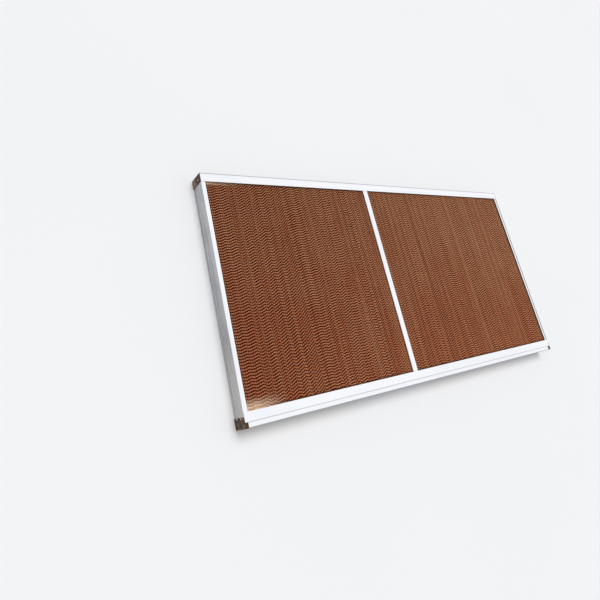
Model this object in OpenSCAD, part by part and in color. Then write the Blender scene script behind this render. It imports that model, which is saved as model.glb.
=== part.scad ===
// Framed evaporative cooling pad, lying on its back with the air inlet face up.
// X runs along the rails, Y from the gutter up to the water hood, Z through the pad.

/* [Pad] */
// Number of pad blocks set side by side
pad_count = 5; // [2:1:8]
// Width of one pad block
pad_w = 600; // [300:10:900]
// Height of a pad block, from gutter to hood
pad_h = 1400; // [600:10:2000]
// Thickness of the pad, along the air flow
pad_t = 100; // [60:5:200]
// Height of one flute, which is the pitch of the glued paper sheets
flute_h = 7; // [5:0.5:12]
// Depth of the notch between the edges of two sheets
notch_d = 6; // [2:0.5:10]

/* [Frame] */
// Wall thickness of every aluminium section
wall = 2; // [1.2:0.1:3]
// Width of a side rail's front and back lips
side_lip = 27; // [15:1:60]
// Clear height of the water chamber in the hood
chamber_h = 36; // [32:1:60]
// How far the hood hangs over the pad
hood_lip = 16; // [12:1:40]
// Clear height of the gutter
gutter_h = 56; // [54:1:90]
// How far the gutter's sides rise past the pad's foot
gutter_lip = 24; // [12:1:50]
// Height of the set-back foot of the gutter
foot_h = 31; // [20:1:40]
// How far the foot is set back on each face
foot_step = 3; // [1:0.5:6]
// Height of the ribs that keep the pad's ends in line
rib_h = 10; // [4:0.5:12]
// Width of the two grooves along a side rail's web
groove_w = 5; // [2:0.5:10]
// Depth of these grooves
groove_d = 0.6; // [0.2:0.1:0.8]
// Distance between the middles of these grooves
groove_gap = 50; // [20:1:50]

/* [Centre bar] */
// Width of the bars that hold the pads front and back
bar_w = 42; // [20:1:80]
// Thickness of the bars
bar_t = 5; // [2:0.5:12]
// Distance of the bars' middle from the left end of the rails
bar_from_left = 1331; // [300:1:2700]

/* [Screw ports] */
// Distance between the two screw ports of a rail
port_gap = 50; // [20:1:60]
// Outer diameter of a screw port
port_d = 8; // [6:0.5:9]
// Hole for the cap's screw
port_hole_d = 3.8; // [2.5:0.1:4.5]

/* [Water slots] */
// Length of a drip slot in the hood's web
drip_l = 30; // [10:1:50]
// Width of a drip slot
drip_w = 4; // [2:0.5:10]
// Distance from one drip slot to the next
drip_pitch = 60; // [55:1:150]
// Length of a drain slot in the gutter's web
drain_l = 60; // [20:1:90]
// Width of a drain slot
drain_w = 10; // [4:0.5:16]
// Distance from one drain slot to the next
drain_pitch = 120; // [100:1:300]

/* [End caps] */
// Thickness of a cap's plate
cap_t = 3; // [2:0.5:6]
// How far a cap's collar reaches into its rail
collar_l = 20; // [10:1:40]
// Wall thickness of the collar and of the pipe socket
collar_wall = 2.5; // [1.5:0.1:2.8]
// Length of the tabs that lap over the gutter's foot
tab_l = 18; // [8:1:40]
// Hole in a cap for each of its two screws
cap_hole_d = 4.5; // [3:0.1:5]
// Bore of the water inlet, for a 20 mm pipe
inlet_d = 20.2; // [12:0.1:20.4]
// Bore of the drain, for a 40 mm pipe
drain_d = 40.2; // [20:0.1:40.4]

/* [Clearances] */
// Gap between two pads, and between a pad and what it stands in
pad_fit = 0.5; // [0.2:0.1:0.8]
// Gap between the frame's own pieces
frame_fit = 0.25; // [0.1:0.05:0.5]

/* [Hidden] */
pads_w = pad_count * pad_w + (pad_count - 1) * pad_fit;
rail_l = pads_w + 2 * (pad_fit + wall);
// Clear depth between the ribs, where the pad stands
pad_room = pad_t + 2 * pad_fit;
// From outside to inside: lip, slot for bars and side rails, rib, pad
slot_t = bar_t + 2 * frame_fit;
frame_t = pad_room + 2 * (wall + slot_t + wall);
side_t = frame_t - 2 * (wall + frame_fit);
mid_z = frame_t / 2;

hood_box = chamber_h + 2 * wall;
gutter_box = gutter_h + 2 * wall;
bay_h = pad_h + 2 * pad_fit;
frame_h = gutter_box + bay_h + hood_box;
bay_y = gutter_box - frame_h / 2;
side_l = bay_h - 2 * frame_fit;

left_x = -rail_l / 2;
bar_x = left_x + bar_from_left;
sheets = floor(pad_w / flute_h);
sheet_pitch = pad_w / sheets;
// Share of the sheets' pitch that is the flat edge of a sheet
crest = 0.3;

// A port is sunk into its web by this much, so that the two are one section.
port_sink = 0.5;
port_reach = port_d - port_sink;
// From the chamber's side of a web to the middle of its ports
port_drop = port_d / 2 - port_sink;

aluminium = [0.86, 0.87, 0.88];
paper = [0.47, 0.27, 0.17];
plastic = [0.17, 0.16, 0.15];

pad_names = [for (i = [1:pad_count]) str("pad_", i)];

// Moves a section drawn as (distance from the rail's outer face, z) to run along X.
module along_x(length) {
    rotate([90, 0, 90]) linear_extrude(length) children();
}

// One C-shaped screw port that stands on the chamber's side of a web.
module port(web_y, z) {
    translate([web_y - port_drop, z]) difference() {
        circle(d = port_d, $fn = 48);
        circle(d = port_hole_d, $fn = 48);
        translate([-port_d / 2, 0]) square([port_d, port_hole_d / 2], center = true);
    }
}

// Box section with a channel for the pad: a chamber, a web with two ribs, and two lips past the web.
module rail_section(box_h, lip_h, foot = 0, step = 0) {
    difference() {
        union() {
            translate([foot, 0]) square([box_h + lip_h - foot, frame_t]);
            if (foot > 0) translate([0, step]) square([foot + wall, frame_t - 2 * step]);
        }
        translate([foot + wall, wall]) square([box_h - foot - 2 * wall, frame_t - 2 * wall]);
        if (foot > 0) translate([wall, step + wall]) square([foot + wall, frame_t - 2 * (step + wall)]);
        translate([box_h, wall]) square([lip_h + wall, frame_t - 2 * wall]);
    }
    for (z = [wall + slot_t, frame_t - 2 * wall - slot_t])
        translate([box_h - wall, z]) square([wall + rib_h, wall]);
    for (side = [-1, 1]) port(box_h - wall, mid_z + side * port_gap / 2);
}

// A row of slots through the web of a rail, drawn along X about the rail's middle.
module slot_row(web_y, length, width, pitch) {
    count = floor((rail_l - 2 * (collar_l + length)) / pitch);
    for (i = [0:count])
        translate([(i - count / 2) * pitch, web_y + wall / 2, mid_z]) cube([length, 3 * wall, width], center = true);
}

// Room for the side rails: the ribs end short of them.
module rib_ends(box_h, lip_h) {
    cut = side_lip + frame_fit;
    for (x = [left_x - cut, -left_x - cut])
        translate([x, box_h, wall]) cube([2 * cut, lip_h, frame_t - 2 * wall]);
}

// A rail is drawn upwards from its outer face; this turns it over so that it hangs from the top.
module from_top() {
    translate([0, frame_h / 2, 0]) mirror([0, 1, 0]) children();
}

module from_bottom() {
    translate([0, -frame_h / 2, 0]) children();
}

module water_hood() {
    color(aluminium) from_top() difference() {
        translate([left_x, 0, 0]) along_x(rail_l) rail_section(hood_box, hood_lip);
        slot_row(hood_box - wall, drip_l, drip_w, drip_pitch);
        rib_ends(hood_box, hood_lip);
    }
}

module gutter() {
    color(aluminium) from_bottom() difference() {
        translate([left_x, 0, 0]) along_x(rail_l) rail_section(gutter_box, gutter_lip, foot_h, foot_step);
        slot_row(gutter_box - wall, drain_l, drain_w, drain_pitch);
        rib_ends(gutter_box, gutter_lip);
    }
}

// Channel that closes one end of the row of pads. Its web is the outer face, with two shallow
// grooves along it, and its lips are turned in at their edges to meet the pad.
module side_rail() {
    color(aluminium) translate([left_x, bay_y + frame_fit + side_l, mid_z]) rotate([90, 0, 0])
        linear_extrude(side_l) difference() {
            translate([0, -side_t / 2]) square([side_lip, side_t]);
            translate([wall, wall - side_t / 2]) square([side_lip - 2 * wall, side_t - 2 * wall]);
            translate([wall, -pad_room / 2]) square([side_lip, pad_room]);
            for (side = [-1, 1])
                translate([0, side * groove_gap / 2]) square([2 * groove_d, groove_w], center = true);
        }
}

module side_rail_left() side_rail();

module side_rail_right() mirror([1, 0, 0]) side_rail();

// Flat bar in the slots behind the lips of hood and gutter.
module centre_bar(low_z) {
    color(aluminium) translate([bar_x - bar_w / 2, bay_y + frame_fit, low_z]) cube([bar_w, side_l, bar_t]);
}

module centre_bar_front() centre_bar(frame_t - wall - frame_fit - bar_t);

module centre_bar_back() centre_bar(wall + frame_fit);

// Hole along X through a cap's plate at the left end.
module plate_hole(y, z, d, depth) {
    translate([left_x - 2 * cap_t, y, z]) rotate([0, 90, 0]) cylinder(d = d, h = depth, $fn = 96);
}

// Plate over a rail's end with a collar that plugs the chamber below the ports, drawn for the left end.
// The bore, if any, is the socket of a pipe that runs along X.
module end_cap(plate_h, box_h, chamber_in, bore_d = 0) {
    web_y = box_h - wall;
    collar_y = wall + frame_fit;
    collar_h = web_y - port_reach - frame_fit - collar_y;
    collar_z = chamber_in + frame_fit;
    collar_t = frame_t - 2 * collar_z;
    bore_y = collar_y + collar_h / 2;
    difference() {
        union() {
            translate([left_x - cap_t, 0, 0]) cube([cap_t, plate_h, frame_t]);
            translate([left_x, 0, 0]) along_x(collar_l) difference() {
                translate([collar_y, collar_z]) square([collar_h, collar_t]);
                translate([collar_y + collar_wall, collar_z + collar_wall])
                    square([collar_h - 2 * collar_wall, collar_t - 2 * collar_wall]);
            }
            if (bore_d > 0) translate([left_x, bore_y, mid_z]) rotate([0, 90, 0])
                cylinder(d = min(bore_d + 2 * collar_wall, collar_h), h = collar_l, $fn = 96);
        }
        if (bore_d > 0) plate_hole(bore_y, mid_z, bore_d, collar_l + 4 * cap_t);
        for (side = [-1, 1]) plate_hole(web_y - port_drop, mid_z + side * port_gap / 2, cap_hole_d, 3 * cap_t);
    }
}

module hood_cap(bore_d = 0) {
    color(plastic) from_top()
        end_cap(hood_box + hood_lip, hood_box, wall, bore_d);
}

// The gutter's cap also has two tabs that lap over the set-back foot.
module gutter_cap(bore_d = 0) {
    tab_h = foot_h - frame_fit;
    tab_t = foot_step - frame_fit;
    color(plastic) from_bottom() {
        end_cap(gutter_box, gutter_box, foot_step + wall, bore_d);
        for (low_z = [0, frame_t - tab_t]) translate([left_x, 0, low_z]) cube([tab_l, tab_h, tab_t]);
    }
}

module hood_cap_left() hood_cap();

module hood_cap_right() mirror([1, 0, 0]) hood_cap(inlet_d);

module gutter_cap_left() gutter_cap();

module gutter_cap_right() mirror([1, 0, 0]) gutter_cap(drain_d);

// Edge of a row of sheets: each sheet ends in a narrow crest, with a notch to the next one.
function sheet_edge(face_z, notch_z) = [
    for (i = [0:sheets - 1]) for (p = [[0, notch_z], [0.5 - crest / 2, face_z], [0.5 + crest / 2, face_z]])
        [(i + p[0]) * sheet_pitch, p[1]]
];

function reversed(points) = [for (i = [len(points) - 1:-1:0]) points[i]];

// One block of paper sheets that stand side by side along X, notched on both open faces.
module pad(index) {
    half = pad_t / 2;
    low = half - notch_d;
    front = concat(sheet_edge(half, low), [[pad_w, low]]);
    back = concat(sheet_edge(-half, -low), [[pad_w, -low]]);
    color(paper) translate([-pads_w / 2 + index * (pad_w + pad_fit), bay_y + pad_fit + pad_h, mid_z])
        rotate([90, 0, 0]) linear_extrude(pad_h) polygon(concat(front, reversed(back)));
}

water_hood();
gutter();
side_rail_left();
side_rail_right();
centre_bar_front();
centre_bar_back();
hood_cap_left();
hood_cap_right();
gutter_cap_left();
gutter_cap_right();
for (i = [0:pad_count - 1]) pad(i);
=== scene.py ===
import math

import bmesh
import bpy
import numpy as np
from mathutils import Matrix, Vector


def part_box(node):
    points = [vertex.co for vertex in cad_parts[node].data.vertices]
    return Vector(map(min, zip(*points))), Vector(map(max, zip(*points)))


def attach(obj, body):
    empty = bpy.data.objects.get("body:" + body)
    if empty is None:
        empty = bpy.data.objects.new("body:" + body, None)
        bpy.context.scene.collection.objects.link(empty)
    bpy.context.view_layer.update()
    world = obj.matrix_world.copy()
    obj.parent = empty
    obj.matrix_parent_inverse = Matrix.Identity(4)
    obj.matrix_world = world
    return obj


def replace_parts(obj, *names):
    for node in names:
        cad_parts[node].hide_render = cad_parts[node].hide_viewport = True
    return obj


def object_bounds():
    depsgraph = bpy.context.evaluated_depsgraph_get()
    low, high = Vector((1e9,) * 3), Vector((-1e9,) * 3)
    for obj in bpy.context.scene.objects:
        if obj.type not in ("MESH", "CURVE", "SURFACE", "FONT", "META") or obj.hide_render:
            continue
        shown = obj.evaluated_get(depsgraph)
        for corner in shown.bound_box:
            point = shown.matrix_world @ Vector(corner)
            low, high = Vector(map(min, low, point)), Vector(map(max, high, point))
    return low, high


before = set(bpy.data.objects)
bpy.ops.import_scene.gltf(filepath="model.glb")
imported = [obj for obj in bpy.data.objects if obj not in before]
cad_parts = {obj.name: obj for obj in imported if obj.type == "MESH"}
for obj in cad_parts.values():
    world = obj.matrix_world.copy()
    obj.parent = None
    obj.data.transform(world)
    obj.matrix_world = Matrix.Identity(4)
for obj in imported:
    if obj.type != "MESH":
        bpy.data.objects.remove(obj)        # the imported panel, lying on its back with the air inlet face up
cadLow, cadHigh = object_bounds()
scene = bpy.context.scene
mm = 0.001


# Shader helpers

class Wire:
    # an output socket that takes part in plain expressions
    def __init__(self, finish, socket):
        self.finish = finish
        self.socket = socket

    def maths(self, operation, first, second):
        return self.finish.node("ShaderNodeMath", {"operation": operation}, {0: first, 1: second})

    def __add__(self, other):
        return self.maths("ADD", self, other)

    def __radd__(self, other):
        return self.maths("ADD", other, self)

    def __sub__(self, other):
        return self.maths("SUBTRACT", self, other)

    def __rsub__(self, other):
        return self.maths("SUBTRACT", other, self)

    def __mul__(self, other):
        return self.maths("MULTIPLY", self, other)

    def __rmul__(self, other):
        return self.maths("MULTIPLY", other, self)


class Finish:
    # one material, or the world, and the nodes in it
    def __init__(self, holder):
        holder.use_nodes = True
        self.holder = holder
        self.tree = holder.node_tree
        self.tree.nodes.clear()

    def node(self, kind, settings=None, sockets=None, out=0):
        made = self.tree.nodes.new(kind)
        for name, value in (settings or {}).items():
            if name == "stops":
                self.setStops(made.color_ramp, value)
            else:
                setattr(made, name, value)
        for name, value in (sockets or {}).items():
            if isinstance(value, Wire):
                self.tree.links.new(value.socket, made.inputs[name])
            else:
                made.inputs[name].default_value = value
        return Wire(self, made.outputs[out]) if made.outputs else made

    def setStops(self, ramp, stops):
        while len(ramp.elements) < len(stops):
            ramp.elements.new(1.0)
        for element, (place, colour) in zip(ramp.elements, stops):
            element.position = place
            element.color = colour

    def blend(self, factor, first, second):        # colours, by a share from 0 to 1
        return self.node("ShaderNodeMix", {"data_type": "RGBA"}, {0: factor, 6: first, 7: second}, out=2)

    def stretched(self, scale):        # the piece's own coordinates, in metres, times a scale for each axis
        own = self.node("ShaderNodeTexCoord", out="Object")
        return self.node("ShaderNodeVectorMath", {"operation": "MULTIPLY"}, {0: own, 1: scale})

    def noise(self, scale, detail=3.0, roughness=0.55):
        return self.node(
            "ShaderNodeTexNoise", {"noise_dimensions": "3D"},
            {"Vector": self.stretched(scale), "Scale": 1.0, "Detail": detail, "Roughness": roughness},
        )

    def along(self, axis, output="Object"):        # of a place, in metres, or of the surface's direction
        own = self.node("ShaderNodeTexCoord", out=output)
        return self.node("ShaderNodeSeparateXYZ", None, {0: own}, out=axis)

    def between(self, value, low, high, toLow=0.0, toHigh=1.0):        # clamped, smooth change of range
        return self.node(
            "ShaderNodeMapRange", {"interpolation_type": "SMOOTHSTEP"},
            {"Value": value, "From Min": low, "From Max": high, "To Min": toLow, "To Max": toHigh},
        )

    def line(self, axis, place, width):        # 1 on a thin line across an axis, 0 away from it
        off = self.along(axis) - place
        return self.between(off * off, (0.6 * width) ** 2, (0.35 * width) ** 2)

    def biggest(self, first, second):
        return first.maths("MAXIMUM", first, second)

    def relief(self, height, strength, distance):
        sockets = {"Strength": strength, "Distance": distance, "Height": height}
        return self.node("ShaderNodeBump", None, sockets)

    def surface(self, sockets):
        shader = self.node("ShaderNodeBsdfPrincipled", None, sockets)
        self.node("ShaderNodeOutputMaterial", None, {"Surface": shader})
        return self.holder


def newFinish(name):
    return Finish(bpy.data.materials.new(name))


def ranged(limits, share):        # from the first limit at 0 to the second at 1
    low, high = limits
    return low + (high - low) * share


def colour(red, green, blue):        # written as on a screen, 0 to 255
    def linear(value):
        share = value / 255
        return share / 12.92 if share <= 0.04045 else ((share + 0.055) / 1.055) ** 2.4
    return (linear(red), linear(green), linear(blue), 1.0)


# Camera, where the photograph was taken from

cameraView = {
    "place": (-2.7317, -0.644, 2.5896),
    "turn": (24.568, -32.017, -14.994),        # degrees
    "lens": 29.62,
    "shiftY": -0.0855,
}


def makeCamera(view):
    lens = bpy.data.cameras.new("camera")
    lens.lens = view["lens"]
    lens.shift_y = view["shiftY"]
    lens.clip_end = 200.0
    camera = bpy.data.objects.new("camera", lens)
    camera.location = view["place"]
    camera.rotation_euler = [math.radians(angle) for angle in view["turn"]]
    scene.collection.objects.link(camera)
    scene.camera = camera


makeCamera(cameraView)
print("camera placed")


# Floor and light

studio = {
    "floorSize": 60.0,
    "floorColour": colour(247, 247, 247),
    "floorCloud": colour(243, 243, 243),
    "floorClouds": 0.35,        # a metre
    "floorRoughness": 0.8,
    "floorGap": 0.2 * mm,        # under the panel's back
    "skyColour": colour(250, 252, 255),
    "skyLight": 0.5,        # on the object and the floor
    "skySeen": 1.0,        # as metal mirrors it
    "sunFrom": (0.06, 0.36, 0.93),
    "sunSoftness": 35.0,        # degrees across
    "sunStrength": 1.7,
}


def makeFloor(setup):
    finish = newFinish("floor_pale")
    cloudy = finish.noise([setup["floorClouds"]] * 3, 2.0)
    shade = finish.blend(cloudy, setup["floorColour"], setup["floorCloud"])
    half = setup["floorSize"] / 2
    corners = [(-half, -half, 0), (half, -half, 0), (half, half, 0), (-half, half, 0)]
    mesh = bpy.data.meshes.new("floor")
    mesh.from_pydata(corners, [], [(0, 1, 2, 3)])
    mesh.materials.append(finish.surface({"Base Color": shade, "Roughness": setup["floorRoughness"]}))
    floor = bpy.data.objects.new("floor", mesh)
    floor.location.z = cadLow.z - setup["floorGap"]
    scene.collection.objects.link(floor)


def makeSky(setup):
    sky = Finish(bpy.data.worlds.new("sky"))
    camera = sky.node("ShaderNodeLightPath", out="Is Camera Ray")
    mirror = sky.node("ShaderNodeLightPath", out="Is Glossy Ray")
    glass = sky.node("ShaderNodeLightPath", out="Is Transmission Ray")
    seen = sky.biggest(camera, sky.biggest(mirror, glass))
    strength = setup["skyLight"] + (setup["skySeen"] - setup["skyLight"]) * seen
    shader = sky.node("ShaderNodeBackground", None, {"Color": setup["skyColour"], "Strength": strength})
    sky.node("ShaderNodeOutputWorld", None, {"Surface": shader})
    scene.world = sky.holder


def makeSun(setup):
    lamp = bpy.data.lights.new("sun", "SUN")
    lamp.energy = setup["sunStrength"]
    lamp.angle = math.radians(setup["sunSoftness"])
    sun = bpy.data.objects.new("sun", lamp)
    sun.rotation_euler = Vector(setup["sunFrom"]).to_track_quat("Z", "Y").to_euler()
    sun.visible_glossy = False        # no hot spots on the bright metal
    scene.collection.objects.link(sun)


makeFloor(studio)
makeSky(studio)
makeSun(studio)
scene.view_settings.view_transform = "Standard"
print("floor and light set")


# Aluminium sections

aluminium = {
    "bright": colour(253, 253, 254),        # front and back faces
    "dull": colour(244, 245, 247),
    "side": colour(192, 193, 196),        # faces to the sides, painted darker as shade
    "sideShadeDull": colour(142, 142, 144),
    "dust": colour(205, 192, 178),
    "dustBand": (-0.2, -0.75),        # Y where dust starts and is thickest on the sides
    "dustMost": 0.5,
    "dustRange": (0.3, 0.65),        # of the stains that hold dust
    "metallic": 0.8,
    "roughness": (0.32, 0.46),
    "relief": (0.05, 0.4 * mm),        # strength and height
    "alongStreaks": 0.9,        # streaks a metre, along the section
    "fineStreaks": 260.0,        # and across it: die lines of the extrusion
    "broadStreaks": 75.0,
    "stains": 3.0,        # a metre
    "dullShares": (0.4, 0.35, 0.25),        # of fine streaks, broad streaks and stains in the dullness
    "dullRange": (0.4, 0.62),
    "flatRange": (0.15, 0.6),        # upright part of the surface's direction, squared
    "bevel": 0.6 * mm,
    "footHeight": 31 * mm,        # of the gutter's set-back foot
    "shadeLine": colour(118, 121, 127),        # painted shade lines: in the step above the foot and along outer edges
    "stepLine": (6 * mm, 0.35),        # width and strength
    "edgeLine": (9 * mm, 0.75),
    "endShadeLine": colour(58, 60, 64),        # painted shade line, darker, along the right end
    "endLine": (19 * mm, 1.0),
}


def streaks(finish, lengthAxis, across, spec):
    scale = [across] * 3
    scale[lengthAxis] = spec["alongStreaks"]
    return finish.noise(scale, 4.0, 0.6)


def aluminiumFinish(name, lengthAxis, spec, lines=()):
    finish = newFinish(name)
    fine = streaks(finish, lengthAxis, spec["fineStreaks"], spec)
    broad = streaks(finish, lengthAxis, spec["broadStreaks"], spec)
    stain = finish.noise([spec["stains"]] * 3, 3.0)
    parts = zip(spec["dullShares"], (fine, broad, stain))
    dullness = finish.between(sum(share * part for share, part in parts), *spec["dullRange"])
    settled = finish.between(finish.along("Y"), *spec["dustBand"])
    dust = spec["dustMost"] * settled * finish.between(stain, *spec["dustRange"])
    # the faces to the sides get painted shade: a darker tone than the front and back
    side = finish.blend(dust, finish.blend(dullness, spec["side"], spec["sideShadeDull"]), spec["dust"])
    upright = finish.along("Z", "Normal")
    flat = finish.between(upright * upright, *spec["flatRange"])        # 1 on the front and back faces
    tone = finish.blend(flat, side, finish.blend(dullness, spec["bright"], spec["dull"]))
    # painted shade lines along the step and the outer edges of the front and back faces
    for axis, place, (width, most) in lines:
        tone = finish.blend(most * flat * finish.line(axis, place, width), tone, spec["shadeLine"])
    return finish.surface({
        "Base Color": tone,
        "Metallic": spec["metallic"],
        "Roughness": ranged(spec["roughness"], dullness),
        "Normal": finish.relief(fine, *spec["relief"]),
    })


edgeShape = {
    "weld": 0.02 * mm,
    "segments": 2,
    "fromAngle": 40.0,        # degrees between two faces
}


def softEdges(piece, width):        # the small radii of real sections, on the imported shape
    weld = piece.modifiers.new("weld", "WELD")
    weld.merge_threshold = edgeShape["weld"]
    bevel = piece.modifiers.new("edges", "BEVEL")
    bevel.width = width
    bevel.segments = edgeShape["segments"]
    bevel.limit_method = "ANGLE"
    bevel.angle_limit = math.radians(edgeShape["fromAngle"])


def dress(node, material):
    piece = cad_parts[node]
    piece.data.materials.clear()
    piece.data.materials.append(material)
    return piece


edgeLine, stepLine, endLine = (aluminium[line] for line in ("edgeLine", "stepLine", "endLine"))
footLines = [("Y", cadLow.y, edgeLine), ("Y", cadLow.y + aluminium["footHeight"], stepLine)]
railLines = [("X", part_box("side_rail_right")[1].x, endLine)]
railMetal = aluminiumFinish("aluminium_rail", 1, {**aluminium, "shadeLine": aluminium["endShadeLine"]}, railLines)
noSideShade = {"side": aluminium["bright"], "sideShadeDull": aluminium["dull"]}        # the thin bars, bright all round, without the painted shade on their sides
barMetal = aluminiumFinish("aluminium_bar", 1, {**aluminium, **noSideShade})
sectionMetals = {
    "water_hood": aluminiumFinish("aluminium_hood", 0, aluminium, [("Y", cadHigh.y, edgeLine)]),
    "gutter": aluminiumFinish("aluminium_gutter", 0, aluminium, footLines),
    "side_rail_left": railMetal,
    "side_rail_right": railMetal,
    "centre_bar_front": barMetal,
    "centre_bar_back": barMetal,
}
for section, metal in sectionMetals.items():
    softEdges(dress(section, metal), aluminium["bevel"])
print("aluminium sections dressed")


# End caps

capPlastic = {
    "dark": colour(50, 36, 24),
    "pale": colour(140, 106, 80),
    "gloss": 0.25,
    "roughness": (0.5, 0.72),
    "dust": 20.0,        # patches a metre
    "dustRange": (0.42, 0.66),
    "grain": 900.0,        # of the moulded surface, a metre
    "relief": (0.12, 0.3 * mm),        # strength and height
    "bevel": 0.8 * mm,
}


def capFinish(spec):
    finish = newFinish("cap_plastic")
    dusty = finish.between(finish.noise([spec["dust"]] * 3, 4.0, 0.6), *spec["dustRange"])
    grain = finish.noise([spec["grain"]] * 3, 2.0)
    return finish.surface({
        "Base Color": finish.blend(dusty, spec["dark"], spec["pale"]),
        "Roughness": ranged(spec["roughness"], dusty),
        "Specular IOR Level": spec["gloss"],
        "Normal": finish.relief(grain, *spec["relief"]),
    })


capMaterial = capFinish(capPlastic)
capNodes = ("hood_cap_left", "hood_cap_right", "gutter_cap_left", "gutter_cap_right")
for cap in capNodes:
    softEdges(dress(cap, capMaterial), capPlastic["bevel"])
print("end caps dressed")


# Screws that hold the end caps

screw = {
    "headRadius": 4.75 * mm,
    "headHeight": 2.8 * mm,
    "flatRadius": 3.3 * mm,        # of the head's top
    "rimHeight": 0.9 * mm,        # straight side of the head
    "domeSteps": 5,
    "armLength": 2.5 * mm,        # cross recess, from the middle
    "armHalf": 0.55 * mm,
    "recessDepth": 1.6 * mm,
    "recessTaper": 0.6,        # size of the recess at its floor
    "seat": 0.2 * mm,        # of the head in the cap's outer face
    "apart": 50 * mm,        # the two screws of a cap
    "belowTop": 34.5 * mm,        # hood's ports, from its top edge
    "aboveFoot": 54.5 * mm,        # gutter's ports, from its foot
    "zinc": colour(206, 207, 208),
    "zincDull": colour(170, 170, 168),
    "clouds": 700.0,        # a metre
    "cloudRange": (0.35, 0.7),
    "roughness": (0.28, 0.5),
}


def screwFinish(spec):
    finish = newFinish("screw_zinc")
    cloud = finish.between(finish.noise([spec["clouds"]] * 3, 3.0), *spec["cloudRange"])
    return finish.surface({
        "Base Color": finish.blend(cloud, spec["zinc"], spec["zincDull"]),
        "Metallic": 1.0,
        "Roughness": ranged(spec["roughness"], cloud),
    })


def crossReach(angle, spec):        # from the middle to the recess's outline
    off = abs((angle + math.pi / 4) % (math.pi / 2) - math.pi / 4)        # from the nearest arm
    return min(spec["armLength"] / math.cos(off), spec["armHalf"] / max(math.sin(off), 1e-6))


def screwMesh(spec, material):
    corner = math.atan2(spec["armHalf"], spec["armLength"])
    quarter = math.pi / 4
    steps = [0.0] + [corner + (quarter - corner) * i / 3 for i in range(4)]
    steps += [2 * quarter - step for step in reversed(steps[1:-1])]
    angles = [turn * 2 * quarter + step for turn in range(4) for step in steps]
    cross = [crossReach(angle, spec) for angle in angles]
    top = spec["headHeight"]
    rings = [
        ([reach * spec["recessTaper"] for reach in cross], top - spec["recessDepth"]),
        (cross, top),
    ]
    for step in range(spec["domeSteps"] + 1):        # a quarter ellipse, from the flat top to the side
        swing = step / spec["domeSteps"] * math.pi / 2
        radius = ranged((spec["flatRadius"], spec["headRadius"]), math.sin(swing))
        rings.append(([radius] * len(angles), ranged((spec["rimHeight"], top), math.cos(swing))))
    rings.append(([spec["headRadius"]] * len(angles), -spec["seat"]))
    build = bmesh.new()
    loops = []
    for reaches, height in rings:
        around = zip(angles, reaches)
        points = [(reach * math.cos(angle), reach * math.sin(angle), height) for angle, reach in around]
        loops.append([build.verts.new(point) for point in points])
    for inner, outer in zip(loops, loops[1:]):
        for i in range(len(angles)):
            after = (i + 1) % len(angles)
            build.faces.new((inner[i], outer[i], outer[after], inner[after]))
    build.faces.new(loops[0])
    build.faces.new(loops[-1][::-1])
    mesh = bpy.data.meshes.new("cap_screw")
    build.to_mesh(mesh)
    build.free()
    mesh.materials.append(material)
    return mesh


def placeScrews(cap, spec, mesh, rng):
    low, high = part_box(cap)
    outward = -1 if high.x < 0 else 1
    y = cadHigh.y - spec["belowTop"] if "hood" in cap else cadLow.y + spec["aboveFoot"]
    for place, side in (("front", 1), ("back", -1)):
        piece = bpy.data.objects.new(cap.replace("cap", "screw") + "_" + place, mesh)
        spin = Matrix.Rotation(rng.uniform(0, math.pi / 2), 4, "Z")
        tilt = Matrix.Rotation(outward * math.pi / 2, 4, "Y")        # head outwards
        x = low.x if outward < 0 else high.x
        z = (cadLow.z + cadHigh.z + side * spec["apart"]) / 2
        piece.matrix_world = Matrix.Translation((x, y, z)) @ tilt @ spin
        scene.collection.objects.link(piece)
        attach(piece, "root")


screwShape = screwMesh(screw, screwFinish(screw))
screwTurns = np.random.default_rng(3)
for cap in capNodes:
    placeScrews(cap, screw, screwShape, screwTurns)
print("cap screws placed")


# Pads of crossed, fluted paper

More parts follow.
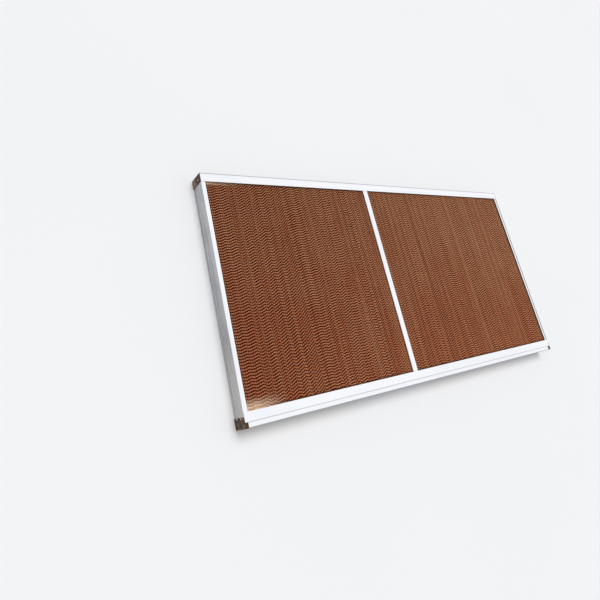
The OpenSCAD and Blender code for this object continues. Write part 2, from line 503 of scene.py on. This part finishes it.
padPaper = {
    "sheets": 85,        # in each pad
    "wave": 17.4 * mm,        # one flute, measured up the face
    "swing": 3.2 * mm,        # of a sheet to each side
    "edge": 0.5 * mm,        # paper soaked with resin, at its cut edge
    "sink": 8 * mm,        # how deep the open flutes are modelled
    "coreDepth": 6 * mm,        # where the core starts, painted dark as the shade deep in the flutes
    "inset": 0.2 * mm,        # of the inside from the pad's ends
    "leans": (0.5, 1.1),        # rise of the flutes as they go in, sheet by sheet
    "drift": (0.08, 0.30),        # shift of a sheet against the one before at the foot, in waves
    "fan": 0.10,        # how much more it shifts at the head
    "runUp": (3, 7),        # sheets before the shift turns round
    "runDown": (2, 5),
    "endGap": 0.2,        # half waves between a sheet's end and its nearest fold, at least
    "seed": 11,
    "paper": (colour(255, 192, 144), colour(242, 154, 108)),        # legs to one side, painted as lit, pale and dark sheets
    "under": (colour(80, 15, 1), colour(42, 7, 1)),        # legs to the other side, painted as in shade
    "cutEdge": (colour(240, 146, 98), colour(190, 96, 58)),
    # the core, painted dark as the shade deep in the flutes
    "inside": (colour(70, 16, 1), colour(52, 12, 1)),
    "sheetNoise": (150.0, 0.8, 0.8),        # changes a metre, from sheet to sheet
    "columnNoise": (34.0, 0.6, 0.8),
    "patchNoise": (5.0, 4.0, 5.0),
    "fibreNoise": (320.0, 320.0, 320.0),
    "shadeShares": (0.35, 0.3, 0.2, 0.15),        # of these four in the shade
    "shadeRange": (0.4, 0.6),
    "roughness": (0.82, 0.94),
    "dust": colour(186, 122, 90),        # evens out the legs of some sheets
    "dustNoise": (70.0, 1.5, 0.8),
    "dustRange": (0.52, 0.7),
    "dustMost": 0.5,
    "flutesShade": colour(92, 22, 2),        # painted shade, darker down in the flutes
    "flutesShadeAt": 6 * mm,
    "flutesShadeMost": 0.55,
    "wornHead": 0.8,        # paler sheets at the head than at the foot
    "gloss": 0.1,        # matt paper
    "scale": colour(255, 232, 204),        # painted highlight: pale glare in the corners at the left
    "glareFoot": (75 * mm, 8 * mm),        # from the gutter, where it starts and is full
    "glareHead": (22 * mm, 0),        # and from the hood
    "glareReach": 300 * mm,        # from the left end
    "glareMost": 1.0,
    "glareColumns": (0.3, 0.55, 0.75, 1.0),        # range of the columns' noise, least and most glare
    "frameShade": colour(52, 22, 10),        # painted shade on the paper beside the frame
    "frameShadeBand": (11 * mm, 5 * mm),
    "frameShadeMost": 0.75,
}


def paperFinish(name, shades, spec, lowest, highest):        # and the corners of the frame's opening
    finish = newFinish(name)
    perSheet = finish.noise(spec["sheetNoise"], 1.0)
    column = finish.noise(spec["columnNoise"], 2.0)
    patch = finish.noise(spec["patchNoise"], 3.0)
    fibre = finish.noise(spec["fibreNoise"], 2.0)
    parts = zip(spec["shadeShares"], (perSheet, column, patch, fibre))
    share = finish.between(sum(weight * part for weight, part in parts), *spec["shadeRange"])
    x, y = finish.along("X"), finish.along("Y")
    share = share + spec["wornHead"] * (0.5 - finish.between(y, lowest.y, highest.y))

    def beside(place, low, high, lowBand, highBand):        # 1 at either side of the opening
        return finish.biggest(
            finish.between(place, low + lowBand[0], low + lowBand[1]),
            finish.between(place, high - highBand[0], high - highBand[1]),
        )

    # painted highlight: pale glare in the left corners, at the foot and the head
    atLeft = finish.between(x, lowest.x + spec["glareReach"], lowest.x)
    glareZone = beside(y, lowest.y, highest.y, spec["glareFoot"], spec["glareHead"]) * atLeft
    glare = spec["glareMost"] * glareZone * finish.between(column, *spec["glareColumns"])
    # painted shade on the paper beside the side rails and the gutter
    far, near = spec["frameShadeBand"]
    frameShade = finish.biggest(
        beside(x, lowest.x, highest.x, spec["frameShadeBand"], spec["frameShadeBand"]),
        finish.between(y, lowest.y + far, lowest.y + near) * (1 - atLeft),
    )
    middle, half = (lowest.z + highest.z) / 2, (highest.z - lowest.z) / 2
    out = finish.along("Z") - middle
    # painted shade, darker with depth into the flutes
    flutesShade = spec["flutesShadeMost"] * finish.between(out * out, half ** 2, (half - spec["flutesShadeAt"]) ** 2)
    dust = spec["dustMost"] * finish.between(finish.noise(spec["dustNoise"], 2.0), *spec["dustRange"])
    dusty = finish.blend(dust, finish.blend(share, *shades), spec["dust"])
    tone = finish.blend(flutesShade, dusty, spec["flutesShade"])
    tone = finish.blend(spec["frameShadeMost"] * frameShade, tone, spec["frameShade"])
    return finish.surface({
        "Base Color": finish.blend(glare, tone, spec["scale"]),
        "Roughness": ranged(spec["roughness"], fibre),
        "Specular IOR Level": spec["gloss"],
    })


def sheetPhases(count, spec, rng):        # of each sheet's waves, at the foot and at the head
    phases = []
    phase = rng.uniform()
    way, run = 1, spec["runUp"]
    while len(phases) < count:
        step = way * rng.uniform(*spec["drift"])
        for sheet in range(rng.integers(*run)):
            phases.append((phase, phase + spec["fan"] * (len(phases) - count / 2)))
            phase += step
        way, run = -way, spec["runUp"] if way < 0 else spec["runDown"]
    return phases[:count]


def sheetRibbon(x, phases, lean, low, high, spec, front):
    # the outer part of one sheet, folded up the face: a closed wedge with the cut edge outside
    fan = (phases[1] - phases[0]) / (high.y - low.y)
    rate = 1 / spec["wave"] - fan        # waves a metre
    start = phases[0] - fan * low.y
    first = math.ceil(2 * (low.y * rate - start) + spec["endGap"])
    last = math.floor(2 * (high.y * rate - start) - spec["endGap"])
    folds = (np.arange(first, last + 1) / 2 + start) / rate
    y = np.concatenate(([low.y], folds, [high.y]))
    turn = y * rate - start
    x = x + spec["swing"] * (4 * np.abs(turn - np.floor(turn) - 0.5) - 1)
    face = high.z if front else low.z
    inner = face - spec["sink"] if front else face + spec["sink"]
    innerY = np.clip(y + lean * spec["sink"], low.y, high.y)
    edge = spec["edge"] / 2
    rows = len(y)
    points = np.empty((rows, 3, 3))
    points[:, 0] = np.column_stack((x - edge, y, np.full(rows, face)))
    points[:, 1] = np.column_stack((x, innerY, np.full(rows, inner)))
    points[:, 2] = np.column_stack((x + edge, y, np.full(rows, face)))
    corners = np.array([(1, 0, 3, 4), (2, 1, 4, 5), (0, 2, 5, 3)])        # left wall, right wall, cut edge
    walls = 3 * np.arange(rows - 1)[:, None, None] + corners
    ends = np.array([(0, 1, 2), (3 * rows - 1, 3 * rows - 2, 3 * rows - 3)])
    # the legs that rise to one side take the painted light, the others the painted shade
    leg = np.where(np.diff(x) > 0, 0, 1)
    slots = np.column_stack((leg, leg, np.full(rows - 1, 2)))
    if not front:
        walls, ends = walls[:, :, ::-1], ends[:, ::-1]
    return points.reshape(-1, 3), walls.reshape(-1, 4), ends, slots.ravel()


padMap = {        # heights of the rows of a pad's texture map
    "frontLegs": 0.30,        # a row for each leg of the waves
    "backLegs": 0.13,
    "frontEdges": 0.08,
    "backEdges": 0.04,
}


def mapRows(spec):        # lowest and highest place of each row, the last for the inside and the ends
    names = ("frontLegs", "frontLegs", "backLegs", "backLegs", "frontEdges", "backEdges")
    heights = np.array([spec[name] for name in names])
    tops = np.append(np.cumsum(heights), 1.0)
    return np.column_stack((np.append(0.0, tops[:-1]), tops))


def ribbonMap(sheet, count, leg, front, rows):
    # a strip for each wall, so that pale legs lie beside pale ones and meet at the same depth
    across = np.array((1, 0, 0, 1))        # the four corners of a face in its strip
    ahead = np.array((0, 0, 1, 1))
    segment = np.arange(len(leg))[:, None]
    places = np.empty((len(leg), 3, 4, 2))
    low, high = rows[leg + (0 if front else 2)].T[:, :, None]
    upLeg = low + (high - low) * (segment // 2 + ahead) / ((len(leg) + 1) // 2)
    for side in (0, 1):
        places[:, side, :, 0] = (2 * sheet + side + across) / (2 * count)
        places[:, side, :, 1] = upLeg
    low, high = rows[4 if front else 5]
    places[:, 2, :, 0] = (sheet + 1 - across) / count
    places[:, 2, :, 1] = low + (high - low) * (segment + ahead) / len(leg)
    return places if front else places[:, :, ::-1]


def endsMap(strip, count, row):        # two triangles in the lower half of the last row
    left, right = strip / count, (strip + 1) / count
    low, high = row[0], row.mean()
    return np.array([(left, low), (right, low), (right, high), (left, low), (right, high), (left, high)])


def coreMap(row):        # six faces in its upper half
    low, high = row.mean(), row[1]
    edges = np.linspace(0, 1, 7)
    cells = zip(edges, edges[1:])
    return np.array([[(left, low), (right, low), (right, high), (left, high)] for left, right in cells])


def coreBox(low, high, spec):
    lowest = np.array((low.x + spec["inset"], low.y, low.z + spec["coreDepth"]))
    highest = np.array((high.x - spec["inset"], high.y, high.z - spec["coreDepth"]))
    corners = np.array([[(lowest, highest)[i >> axis & 1][axis] for axis in range(3)] for i in range(8)])
    faces = np.array([(0, 2, 3, 1), (4, 5, 7, 6), (0, 1, 5, 4), (2, 6, 7, 3), (0, 4, 6, 2), (1, 3, 7, 5)])
    return corners, faces


def makePad(node, spec, rows, materials, rng):
    low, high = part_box(node)
    sheets = spec["sheets"]
    pitch = (high.x - low.x) / sheets
    corners, boxFaces = coreBox(low, high, spec)
    points, quads, closers, slots = [corners], [boxFaces], [], [np.full(len(boxFaces), 3)]
    places, closerPlaces = [coreMap(rows[6]).reshape(-1, 2)], []
    count = len(corners)
    for front in (True, False):
        for i, phases in enumerate(sheetPhases(sheets, spec, rng)):
            middle = low.x + (i + 0.5) * pitch
            lean = spec["leans"][i % 2]
            ribbon, walls, ends, sides = sheetRibbon(middle, phases, lean, low, high, spec, front)
            points.append(ribbon)
            quads.append(walls + count)
            closers.append(ends + count)
            slots.append(sides)
            places.append(ribbonMap(i, sheets, sides[::3], front, rows).reshape(-1, 2))
            closerPlaces.append(endsMap(i if front else sheets + i, 2 * sheets, rows[6]))
            count += len(ribbon)
    faces = np.concatenate(quads).tolist() + np.concatenate(closers).tolist()
    slots.append(np.full(2 * len(closers), 2))
    mesh = bpy.data.meshes.new(node + "_sheets")
    mesh.from_pydata(np.concatenate(points).tolist(), [], faces)
    for material in materials:
        mesh.materials.append(material)
    mesh.polygons.foreach_set("material_index", np.concatenate(slots).astype(np.int32))
    paperMap = mesh.uv_layers.new(name="OFBake")        # a texture map of the pad's own, a strip for each wall
    paperMap.data.foreach_set("uv", np.concatenate(places + closerPlaces).ravel())
    mesh.update()
    pad = bpy.data.objects.new(node + "_sheets", mesh)
    scene.collection.objects.link(pad)
    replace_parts(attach(pad, "root"), node)
    return sum(len(face) - 2 for face in faces)


padNodes = sorted(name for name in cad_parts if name.startswith("pad_"))
padLow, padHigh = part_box(padNodes[0])
openLow = Vector((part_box("side_rail_left")[1].x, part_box("gutter")[1].y, padLow.z))        # where the lips end
openHigh = Vector((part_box("side_rail_right")[0].x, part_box("water_hood")[0].y, padHigh.z))
paperMaterials = [
    paperFinish("pad_" + surface, padPaper[surface], padPaper, openLow, openHigh)
    for surface in ("paper", "under", "cutEdge", "inside")
]
sheetChance = np.random.default_rng(padPaper["seed"])
triangles = [makePad(node, padPaper, mapRows(padMap), paperMaterials, sheetChance) for node in padNodes]
print("pads made, triangles:", triangles)


print("scene built")
